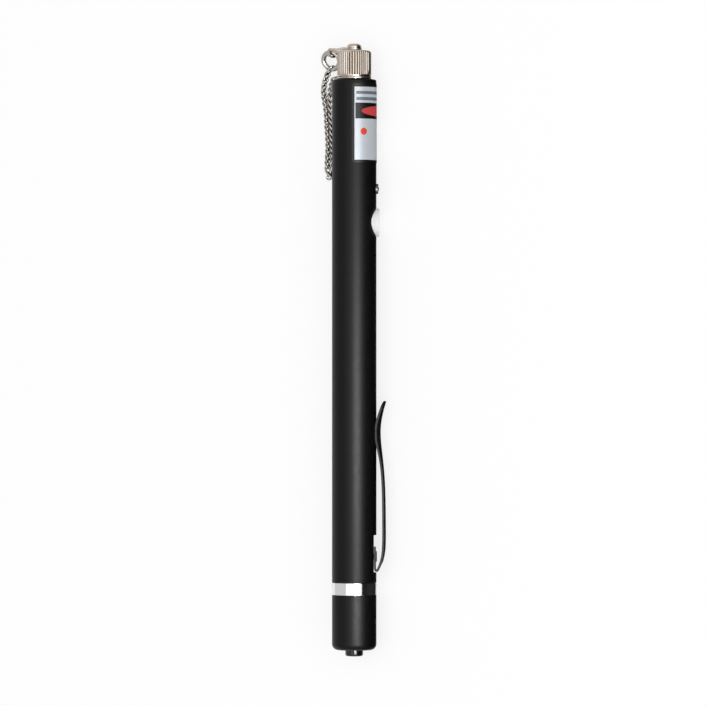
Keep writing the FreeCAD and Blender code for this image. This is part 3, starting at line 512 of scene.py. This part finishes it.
def label_printing():
    """Screen print on silver polyester: a faintly metallic ground under opaque black, grey and red ink."""
    material, tree, surface = finish("screen_printed_silver_polyester", "#b4babf", 0.42,
                                     Specular_IOR_Level=0.25)
    grain(tree, surface, 0.3, 0.0008, 0.38, 0.46)
    flat = add(tree, "ShaderNodeUVMap", {"uv_map": "mm"})
    apart = add(tree, "ShaderNodeSeparateXYZ", {}, {"Vector": flat.outputs["UV"]})
    across, back = apart.outputs["X"], apart.outputs["Y"]

    def far_from(value, centre):
        shifted = add(tree, "ShaderNodeMath", {"operation": "SUBTRACT", 1: centre}, {0: value})
        return add(tree, "ShaderNodeMath", {"operation": "ABSOLUTE"}, {0: shifted.outputs[0]}).outputs[0]

    def inside(amount, limit):
        ends = {"From Min": limit + PRINT_EDGE, "From Max": limit - PRINT_EDGE}
        return add(tree, "ShaderNodeMapRange", ends, {"Value": amount}).outputs["Result"]

    def both(first, second):
        return add(tree, "ShaderNodeMath", {"operation": "MULTIPLY"}, {0: first, 1: second}).outputs[0]

    def field(across_middle, across_half, back_middle, back_half):
        wide = inside(far_from(across, across_middle), across_half)
        return both(wide, inside(far_from(back, back_middle), back_half))

    def oval(across_middle, across_half, back_middle, back_half):
        squares = []
        for value, centre, half in ((across, across_middle, across_half), (back, back_middle, back_half)):
            away = far_from(value, centre)
            share = add(tree, "ShaderNodeMath", {"operation": "DIVIDE", 1: half}, {0: away})
            squares.append(both(share.outputs[0], share.outputs[0]))
        total = add(tree, "ShaderNodeMath", {"operation": "ADD"}, {0: squares[0], 1: squares[1]})
        return inside(total.outputs[0], 1.0)

    # A field or an oval is given by its middle and its half size in mm: first across the label, from the
    # line along its middle, then back from its front edge.
    ground_half = label_half - LABEL_BORDER
    ground = field(0, ground_half, LABEL_LENGTH / 2 + 0.12, LABEL_LENGTH / 2 - LABEL_BORDER - 0.12)
    band = field(0, ground_half - 0.25, 8.15, 2.35)
    colour = add(tree, "ShaderNodeRGB", {}).outputs["Color"]
    colour.default_value = linear("#070708")
    for mask, ink in (
        (ground, "#b4babf"), (band, "#09090a"),
        (oval(-1.5, 6.8, 8.2, 1.5), "#b8383a"), (oval(-7.6, 1.05, 14.25, 1.05), "#d0402f"),
        (field(-4.6, 5.3, 2.8, 0.46), "#666c74"), (field(-4.6, 5.3, 4.6, 0.46), "#666c74"),
    ):
        printed = add(tree, "ShaderNodeMix", {"data_type": "RGBA", "B": linear(ink)},
                      {"Factor": mask, "A": colour})
        colour = printed.outputs["Result"]
    tree.links.new(colour, surface.inputs["Base Color"])
    silver = add(tree, "ShaderNodeMath", {"operation": "SUBTRACT"}, {0: ground, 1: band})
    sheen = add(tree, "ShaderNodeMath", {"operation": "MULTIPLY", 1: 0.15}, {0: silver.outputs[0]})
    tree.links.new(sheen.outputs[0], surface.inputs["Metallic"])
    return material


new_piece("label_film", label_sheet(), label_printing(), "pen", "label")


# Indicator lamp. A small dark red moulded lens, domed, in a satin metal grommet pressed into the
# barrel's side between the label and the button.

lamp_lens, tree, surface = finish("dark_red_moulded_lens", "#3a0b0e", 0.3, IOR=1.52, Transmission_Weight=0.2,
                                  Specular_IOR_Level=0.05)
grain(tree, surface, 0.5, 0.0003, 0.26, 0.34)
dress(lamp_lens, "indicator_lamp")
LAMP_RADIUS = 1.05
LAMP_TOP = 7.35
LAMP_FOOT = 4.75
LAMP_DOME = 0.95
lens_dome = turned("lamp_lens", [
    (0, LAMP_FOOT, 0), (LAMP_RADIUS, LAMP_FOOT, 0), (LAMP_RADIUS, LAMP_TOP, LAMP_DOME), (0, LAMP_TOP, 0),
], segments=48, steps=10)
lens_dome.transform(side_on(middle("indicator_lamp")))
new_piece("lamp_lens", lens_dome, lamp_lens, "pen", "indicator_lamp")

zinc, tree, surface = finish("satin_nickel_grommet", "#5c5a57", 0.5, metallic=1.0)
grain(tree, surface, 0.1, 0.0008, 0.46, 0.54)
BEZEL_RADIUS = 1.5
BEZEL_TOP = 7.15
BEZEL_LENGTH = 2.0
bezel_foot = BEZEL_TOP - BEZEL_LENGTH
grommet = turned("lamp_grommet", [
    (LAMP_RADIUS + SLIP, bezel_foot, 0), (BEZEL_RADIUS, bezel_foot, 0),
    (BEZEL_RADIUS, BEZEL_TOP, 0.22), (LAMP_RADIUS + SLIP, BEZEL_TOP, 0.08),
], segments=48, steps=6)
grommet.transform(side_on(middle("lamp_bezel")))
new_piece("lamp_grommet", grommet, zinc, "pen", "lamp_bezel")


# Push button. A moulded ABS button in silver lacquer, with a rounded rim, a hollow skirt and a stem
# that stands on the switch.

silver_lacquer, tree, surface = finish("silver_lacquered_abs", "#e0e0df", 0.6, Specular_IOR_Level=0.08,
                                       Subsurface_Weight=0.6, Subsurface_Scale=0.0012,
                                       Subsurface_Radius=(1, 1, 1))
grain(tree, surface, 0.07, 0.0010, 0.46, 0.54)
dress(silver_lacquer, "push_button")
BUTTON_WALL = 0.7
BUTTON_FOOT = 3.6
BUTTON_STEM = 1.2
BUTTON_ROUNDING = 0.36
button_heights = [BUTTON_WAY.dot(v.co) / MM for v in nodes["push_button"].data.vertices]
stem_end, button_top = min(button_heights), max(button_heights)
button_roof = button_top - BUTTON_WALL
skirt_inside = BUTTON_RADIUS - BUTTON_WALL
cap_of_button = turned("button_cap", [
    (0, stem_end, 0), (BUTTON_STEM, stem_end, 0.1), (BUTTON_STEM, button_roof, 0),
    (skirt_inside, button_roof, 0), (skirt_inside, BUTTON_FOOT, 0), (BUTTON_RADIUS, BUTTON_FOOT, 0),
    (BUTTON_RADIUS, button_top, BUTTON_ROUNDING), (0, button_top, 0),
], steps=7)
cap_of_button.transform(side_on(middle("push_button")))
new_piece("button_cap", cap_of_button, silver_lacquer, "push_button", "push_button")

grey_acetal, tree, surface = finish("grey_acetal", "#8d8f91", 0.42)
grain(tree, surface, 0.1, 0.002, 0.38, 0.48)
dress(grey_acetal, "switch_plunger")


# Clip. A strip of spring steel, stamped, folded and crowned, then coated black. Its foot is riveted
# to a flat in the barrel and its leaf springs against the barrel near the flared tip.

WELD = 0.001
spring_black, tree, surface = finish("black_coated_spring_steel", "#0f1011", 0.42, Specular_IOR_Level=0.14)
grain(tree, surface, 0.25, 0.0010, 0.38, 0.46)
dress(spring_black, "clip_rivet")


def welded(node):
    """A bmesh of a CAD node, with the faces that its export left apart joined at their edges."""
    shape = bmesh.new()
    shape.from_mesh(nodes[node].data)
    bmesh.ops.remove_doubles(shape, verts=shape.verts, dist=WELD * MM)
    return shape


def subdivided(shape, levels):
    """Mesh of a bmesh after some levels of subdivision."""
    work = placed("work", mesh_of(shape, "work"))
    work.modifiers.new("round", "SUBSURF").levels = levels
    return applied(work)


def smoothed(node, levels, crease=40):
    """Copy of a bent CAD strip's mesh with its facets rounded out along the bends and its edges kept."""
    shape = welded(node)
    bmesh.ops.join_triangles(shape, faces=shape.faces, angle_face_threshold=math.radians(30),
                             angle_shape_threshold=math.radians(100))
    sharp = shape.edges.layers.float.new("crease_edge")
    for edge in shape.edges:
        edge[sharp] = 1.0 if edge.calc_face_angle(0) > math.radians(crease) else 0.0
    result = subdivided(shape, levels)
    soften(result)
    return result


PAD_CROWN = 1.1
PAD_PLACE = 44.5
PAD_LENGTH = 6.5
strip = smoothed("clip", 2)
strip_half = max(abs(v.co.dot(TOWARDS_CAMERA)) for v in strip.vertices)
for vertex in strip.vertices:
    off_pad = (vertex.co.y / MM - barrel_end - PAD_PLACE) / PAD_LENGTH
    edge_share = vertex.co.dot(TOWARDS_CAMERA) / strip_half
    vertex.co -= BUTTON_WAY * (PAD_CROWN * MM * edge_share ** 2 * math.exp(-off_pad ** 2))
new_piece("clip_strip", strip, spring_black, "pen", "clip")


# Trim ring. A turned ring, polished and chromed, pressed into the barrel's rear end. Its threaded
# spigot takes the tail cap.

chrome, tree, surface = finish("polished_chrome", "#f0f0f1", 0.07, metallic=1.0)
grain(tree, surface, 0.3, 0.0002, 0.05, 0.1, stretch=(1, 0.1, 1))
ring_end, ring_front = reach("trim_ring")
TRIM_LENGTH = 3.6
THREAD_LENGTH = 5.5
TRIM_BORE = 5.32
band_end = ring_end + THREAD_LENGTH
band_front = band_end + TRIM_LENGTH
ring = turned("trim_band", [
    (TRIM_BORE, ring_front, 0), (SOCKET_RADIUS - SLIP, ring_front, 0.1),
    (SOCKET_RADIUS - SLIP, band_front, 0), (BARREL_RADIUS, band_front, EDGE_BREAK),
    (BARREL_RADIUS, band_end, EDGE_BREAK), (SOCKET_RADIUS, band_end, 0),
    (SOCKET_RADIUS, ring_end, 0.3), (TRIM_BORE, ring_end, 0),
], segments=128)
new_piece("trim_band", ring, chrome, "pen", "trim_ring")


# Tail cap. A turned aluminium cup, anodised like the barrel, that screws on the trim ring. Its end is
# rounded over and holds a smooth black moulded plug.

tail_end, tail_front = reach("tail_cap")
TAIL_END_WALL = 2.1
TAIL_CORNER = 1.8
TAIL_BORE = 5.4
NUB_RADIUS = 2.65
NUB_ROUNDING = 0.6
BOSS_RADIUS = 2.4
BOSS_LENGTH = 2.0
tail_floor = tail_end + TAIL_END_WALL
thread_floor = tail_front - THREAD_LENGTH - 0.3
tail = turned("tail_cup", [
    (SOCKET_RADIUS + RUNNING, tail_front, 0.1), (BARREL_RADIUS, tail_front, 0.15),
    (BARREL_RADIUS, tail_end, TAIL_CORNER), (NUB_RADIUS + SLIP, tail_end, 0.2),
    (NUB_RADIUS + SLIP, tail_floor, 0), (TAIL_BORE, tail_floor, 0),
    (TAIL_BORE, thread_floor, 0), (SOCKET_RADIUS + RUNNING, thread_floor, 0),
], segments=128, steps=8)
new_piece("tail_cup", tail, black_metal, "tail_cap", "tail_cap")

gloss_black, tree, surface = finish("polished_black_acetal", "#0d0d0e", 0.1)
grain(tree, surface, 0.6, 0.0005, 0.08, 0.14)
plug_end, plug_front = reach("tail_plug")
boss_foot = plug_front - BOSS_LENGTH
plug_seat = tail_floor + 0.05
plug = turned("tail_nub", [
    (0, plug_front, 0), (BOSS_RADIUS, plug_front, 0.2), (BOSS_RADIUS, boss_foot, 0),
    (TAIL_BORE - SLIP, boss_foot, 0.1), (TAIL_BORE - SLIP, plug_seat, 0), (NUB_RADIUS, plug_seat, 0),
    (NUB_RADIUS, plug_end, NUB_ROUNDING), (0, plug_end, 0),
], steps=8)
new_piece("tail_nub", plug, gloss_black, "tail_cap", "tail_plug")


# Neck washer. A stamped steel washer, nickel plated, held between the barrel and the cap. It has a
# lug with an eye that ties the chain down.

WASHER_EDGE = 0.1
plated_steel = nickel_plating("nickel_plated_stamped_steel", 0.2, 0.26, 0.36)
dress(plated_steel, "neck_washer")
weld = nodes["neck_washer"].modifiers.new("weld", "WELD")
weld.merge_threshold = WELD * MM
bevel = nodes["neck_washer"].modifiers.new("edge", "BEVEL")
bevel.width = WASHER_EDGE * MM
bevel.segments = 2
bevel.limit_method = "ANGLE"
bevel.angle_limit = math.radians(45)
bevel.harden_normals = True


# Dust cap. Turned brass, nickel plated, with forty straight flutes broached down its side that run
# out on the rounded shoulder. It screws on the neck.

CAP_RADIUS = radius_of("dust_cap")
CAP_FLUTES = 40
FLUTE_DEPTH = 0.25
FLUTE_HALF = 0.25
FLUTE_MARGIN = 0.45
CAP_SHOULDER = 0.9
SHOULDER_STEPS = 10
CAP_BORE = 4.06
CAP_ROOF = 1.3
CAP_HOLE = 1.06
cap_low, cap_high = reach("dust_cap")


def flute_section():
    """One flute and its land, as (angle, depth) from the middle of one land to the next."""
    pitch = 2 * math.pi / CAP_FLUTES
    half = FLUTE_HALF / CAP_RADIUS
    steps = [(0, 0), (half * 1.18, 0), (half * 1.02, 0.025), (half * 0.86, 0.07),
             (half * 0.16, FLUTE_DEPTH * 0.9), (0, FLUTE_DEPTH)]
    near = [(pitch / 2 - angle, depth) for angle, depth in steps[1:]]
    far = [(pitch / 2 + angle, depth) for angle, depth in steps[-2:0:-1]]
    return [(0, 0)] + near + far


def cap_rings():
    """Rings of the cap as (radius, place, fluted): up the outside, over the shoulder, down the bore."""
    flute_foot = cap_low + FLUTE_MARGIN
    shoulder = cap_high - CAP_SHOULDER
    rings = [(CAP_RADIUS - 0.12, cap_low, False), (CAP_RADIUS - 0.03, cap_low + 0.04, False),
             (CAP_RADIUS, cap_low + 0.14, False), (CAP_RADIUS, flute_foot - 0.04, False),
             (CAP_RADIUS, flute_foot + 0.16, True)]
    rings += [(CAP_RADIUS, flute_foot + (shoulder - flute_foot) * k / 4, True) for k in (1, 2, 3)]
    for k in range(SHOULDER_STEPS + 1):
        turn = math.radians(90 * k / SHOULDER_STEPS)
        inwards = CAP_SHOULDER * (1 - math.cos(turn))
        rings.append((CAP_RADIUS - inwards, shoulder + CAP_SHOULDER * math.sin(turn), True))
    roof = cap_high - CAP_ROOF
    return rings + [(CAP_HOLE, cap_high, False), (CAP_HOLE, roof, False), (CAP_BORE, roof, False),
                    (CAP_BORE, cap_low, False)]


def fluted_cap():
    """Mesh of the fluted cap, whose flutes run out where the shoulder is deeper than they are."""
    pitch = 2 * math.pi / CAP_FLUTES
    around = [(k * pitch + angle, depth) for k in range(CAP_FLUTES) for angle, depth in flute_section()]
    shape = bmesh.new()
    loops = []
    for radius, place, fluted in cap_rings():
        loop = []
        for angle, depth in around:
            here = min(radius, CAP_RADIUS - depth) if fluted else radius
            loop.append(shape.verts.new(on_axis(here, place, angle)))
        loops.append(loop)
    for near, far in zip(loops, loops[1:] + loops[:1]):
        for k in range(len(around)):
            shape.faces.new((near[k - 1], near[k], far[k], far[k - 1]))
    bmesh.ops.recalc_face_normals(shape, faces=shape.faces)
    mesh = mesh_of(shape, "fluted_cap")
    soften(mesh, 35)
    return mesh


new_piece("fluted_cap", fluted_cap(), nickel, "dust_cap", "dust_cap")


# Cap rivet. A domed, nickel plated rivet, set through the lug and the cap's end. It is left loose
# enough for the lug to swivel.

RIVET_HEAD = 2.2
RIVET_HEAD_HEIGHT = 1.35
RIVET_DOME = 1.1
RIVET_SHANK = 1.0
RIVET_TAIL = 1.5
rivet_low, rivet_high = reach("cap_rivet")
head_foot = rivet_high - RIVET_HEAD_HEIGHT
tail_top = cap_high - CAP_ROOF - 0.05
rivet = turned("swivel_rivet", [
    (0, rivet_low, 0), (RIVET_TAIL, rivet_low, 0.1), (RIVET_TAIL, tail_top, 0), (RIVET_SHANK, tail_top, 0),
    (RIVET_SHANK, head_foot, 0), (RIVET_HEAD, head_foot, 0.08), (RIVET_HEAD, rivet_high, RIVET_DOME),
    (0, rivet_high, 0),
], segments=64, steps=10)
new_piece("swivel_rivet", rivet, nickel, "cap_swivel", "cap_rivet")


# Lug. A stamped and bent strip of nickel plated steel that turns on the rivet and holds the ring.
# Use has pulled it a little out of flat.

LUG_TWIST = 28
LUG_BOW = 0.35
LUG_CUTS = 14
LUG_EYE_END = 0.25
LUG_SPAN = 0.7

lug_points = [v.co for v in nodes["cap_lug"].data.vertices]
lug_way = max(lug_points, key=lambda point: math.hypot(point.x, point.z)).copy()
lug_way.y = 0
lug_reach = lug_way.length
lug_way.normalize()
lug_across = lug_way.cross(ALONG)
if lug_across.dot(TOWARDS_CAMERA) < 0:
    lug_across.negate()
shape = welded("cap_lug")
for k in range(LUG_CUTS):
    cut_place = lug_way * (lug_reach * (LUG_EYE_END + LUG_SPAN * k / LUG_CUTS))
    bmesh.ops.bisect_plane(shape, geom=shape.verts[:] + shape.edges[:] + shape.faces[:], dist=1e-7,
                           plane_co=cut_place, plane_no=lug_way)
lean = math.tan(math.radians(LUG_TWIST))
for vertex in shape.verts:
    share = (vertex.co.dot(lug_way) / lug_reach - LUG_EYE_END) / LUG_SPAN
    bend = math.sin(math.pi * min(max(share, 0), 1)) ** 2
    vertex.co.y += bend * (LUG_BOW * MM - lean * vertex.co.dot(lug_across))
lug = mesh_of(shape, "bowed_lug")
soften(lug)
new_piece("bowed_lug", lug, plated_steel, "cap_swivel", "cap_lug")


# Jump ring and chain. The ring is bright drawn wire, bent round and closed by hand. The curb chain is
# finer wire: each link is an oval whose ends are twisted across each other. The chain is parted in two
# strands: the one that hangs from the ring is put on no body, and the other stays with the washer.

RING_SWING = 22
LINK_WIDENING = 1.5
LINK_RISE = 1.12
STRAND_SHIFT = 0.27
STRANDS_JOIN = 6
RING_GROWTH = 0.26
LINK_GROWTH = 0.08
floor_height = cad_box[0][2]
# The wire's colour carries painted shade, dark brown in the hollows between the links.
bright_wire = nickel_plating("nickel_plated_drawn_wire", 0.15, 0.12, 0.2, "#c4c0ba", 0.7)


def rounder(node, grow):
    """Copy of a CAD node's wire with a round section, grown by a little in mm to its real thickness."""
    result = subdivided(welded(node), 2)
    normals = [v.normal.copy() for v in result.vertices]
    for vertex, normal in zip(result.vertices, normals):
        vertex.co += normal * (grow * MM)
    result.polygons.foreach_set("use_smooth", [True] * len(result.polygons))
    return result


ring_wire = rounder("jump_ring", RING_GROWTH)
ring_points = [v.co.copy() for v in ring_wire.vertices]
ring_foot = min(ring_points, key=lambda point: point.y)
ring_head = max(ring_points, key=lambda point: point.y)
swing = Matrix.Rotation(math.radians(RING_SWING), 4, (ring_head - ring_foot).normalized())
ring_wire.transform(Matrix.Translation(ring_foot) @ swing @ Matrix.Translation(-ring_foot))
new_piece("jump_ring_wire", ring_wire, bright_wire, "cap_swivel", "jump_ring")


def links_apart(mesh):
    """The chain's links as lists of vertices, each with its middle."""
    shape = bmesh.new()
    shape.from_mesh(mesh)
    shape.verts.ensure_lookup_table()
    seen = set()
    links = []
    for start in shape.verts:
        if start.index in seen:
            continue
        group = [start]
        seen.add(start.index)
        for vertex in group:
            for edge in vertex.link_edges:
                other = edge.other_vert(vertex)
                if other.index not in seen:
                    seen.add(other.index)
                    group.append(other)
        centre = sum((v.co for v in group), Vector()) / len(group)
        links.append((centre, {v.index for v in group}))
    shape.free()
    return links


def strand_of(mesh, name, keep):
    """Copy of the chain's mesh with only the vertices to keep."""
    shape = bmesh.new()
    shape.from_mesh(mesh)
    shape.verts.ensure_lookup_table()
    bmesh.ops.delete(shape, geom=[v for v in shape.verts if v.index not in keep], context="VERTS")
    return mesh_of(shape, name)


def on_outer_strand(centre):
    """True for a link of the strand that hangs from the ring, which is on the far side of the parting."""
    x, y = centre.x / MM, centre.y / MM
    parting = -11.5 - 0.05 * (y + 28.9) if y < -2 else -11.0
    return x < parting


chain = rounder("tether_chain", LINK_GROWTH)
outer, inner = set(), set()
for centre, group in links_apart(chain):
    hangs = on_outer_strand(centre)
    (outer if hangs else inner).update(group)
    shift = STRAND_SHIFT * (MM if hangs else -MM) * min(max(-centre.y / (STRANDS_JOIN * MM), 0), 1)
    for index in group:
        point = chain.vertices[index].co
        point.x = centre.x + (point.x - centre.x) * LINK_WIDENING + shift
        point.z = floor_height + (point.z - floor_height) * LINK_RISE
ring_side = strand_of(chain, "chain_ring_strand", outer)
ring_strand = new_piece("chain_ring_strand", ring_side, bright_wire, None, "tether_chain")
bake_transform(ring_strand)
washer_side = strand_of(chain, "chain_washer_strand", inner)
new_piece("chain_washer_strand", washer_side, bright_wire, "pen", "tether_chain")


# Floor and studio. A pale table top, a wide soft lamp over the pen with a narrower one on its right,
# a fill lamp from the left that no metal mirrors, and a small strip that is seen only as a reflection.
# A black card low on the right gives the bright metal its dark side.

TABLE_HALF = 3.0
PAPER_GLOW = 0.8
paper, tree, surface = finish("pale_table_paper", "#f3f3f3", 0.9)
glow = add(tree, "ShaderNodeEmission", {"Strength": 1.0})
seen = add(tree, "ShaderNodeLightPath", {})
share = add(tree, "ShaderNodeMath", {"operation": "MULTIPLY", 1: PAPER_GLOW},
            {0: seen.outputs["Is Camera Ray"]})
lit = add(tree, "ShaderNodeMixShader", {},
          {"Fac": share.outputs[0], 1: surface.outputs["BSDF"], 2: glow.outputs["Emission"]})
tree.links.new(lit.outputs["Shader"], tree.nodes["Material Output"].inputs["Surface"])
shape = bmesh.new()
bmesh.ops.create_grid(shape, x_segments=1, y_segments=1, size=TABLE_HALF)
table = mesh_of(shape, "table")
table.materials.append(paper)
table_top = placed("table_top", table)
table_top.location.z = floor_height


def lamp(name, degrees, lean, distance, width, length, watts):
    """Soft lamp aimed at the pen, turned from the camera's line to the right and leaned along the pen."""
    side = math.radians(degrees)
    tip = math.radians(lean)
    level = TOWARDS_CAMERA * math.cos(side) + BUTTON_WAY * math.sin(side)
    way = level * math.cos(tip) + ALONG * math.sin(tip)
    data = bpy.data.lights.new(name, "AREA")
    data.shape = "RECTANGLE"
    data.size = width
    data.size_y = length
    data.energy = watts
    light = placed(name, data)
    across = ALONG.cross(way).normalized()
    facing = Matrix((across, way.cross(across), way)).transposed().to_4x4()
    light.matrix_world = Matrix.Translation(FRAME_MIDDLE + way * distance) @ facing
    return light


lamp("key_softbox", degrees=-4, lean=-4, distance=1.6, width=2.6, length=2.4, watts=15.7)
lamp("bright_side", degrees=19, lean=-4, distance=1.6, width=0.95, length=2.4, watts=6)
top_light = lamp("top_light", degrees=-29, lean=0, distance=2.0, width=2.0, length=2.0, watts=8)
top_light.visible_glossy = False
tail_strip = lamp("tail_strip", degrees=14, lean=-9, distance=0.5, width=0.22, length=0.16, watts=3.3)
tail_strip.visible_diffuse = False

CARD_START = 6.5 * MM
CARD_REACH = 70 * MM
CARD_HEIGHT = 34 * MM
CARD_MARGIN = 50 * MM
CARD_LIFT = 0.3 * MM
card_mesh = bpy.data.meshes.new("black_card")
rear, front = cad_box[0][1] - CARD_MARGIN, cad_box[1][1] + CARD_MARGIN
low = floor_height + CARD_LIFT
high = low + CARD_HEIGHT
card_mesh.from_pydata([
    (CARD_START, rear, low), (CARD_START, front, low), (CARD_REACH, front, low),
    (CARD_REACH, rear, low), (CARD_REACH, front, high), (CARD_REACH, rear, high),
], [], [(0, 1, 2, 3), (3, 2, 4, 5)])
card_paint, tree, surface = finish("matt_black_card", "#282828", 0.9, Specular_IOR_Level=0)
card_mesh.materials.append(card_paint)
black_card = placed("black_card", card_mesh)
black_card.visible_camera = False
black_card.visible_diffuse = False
black_card.visible_shadow = False

WORLD_LEVEL = 0.5
MIRROR_LEVEL = 0.66
world = bpy.data.worlds.new("studio")
world.use_nodes = True
sky = world.node_tree
seen = add(sky, "ShaderNodeLightPath", {})
background = sky.nodes["Background"]
background.inputs["Color"].default_value = (1, 1, 1, 1)
direct = add(sky, "ShaderNodeMath", {"operation": "MULTIPLY_ADD", 1: 1 - WORLD_LEVEL, 2: WORLD_LEVEL},
             {0: seen.outputs["Is Camera Ray"]})
mirrored = add(sky, "ShaderNodeMath", {"operation": "MULTIPLY_ADD", 1: MIRROR_LEVEL - WORLD_LEVEL},
               {0: seen.outputs["Is Glossy Ray"], 2: direct.outputs[0]})
sky.links.new(mirrored.outputs[0], background.inputs["Strength"])
bpy.context.scene.world = world

bpy.context.scene.view_settings.view_transform = "Standard"
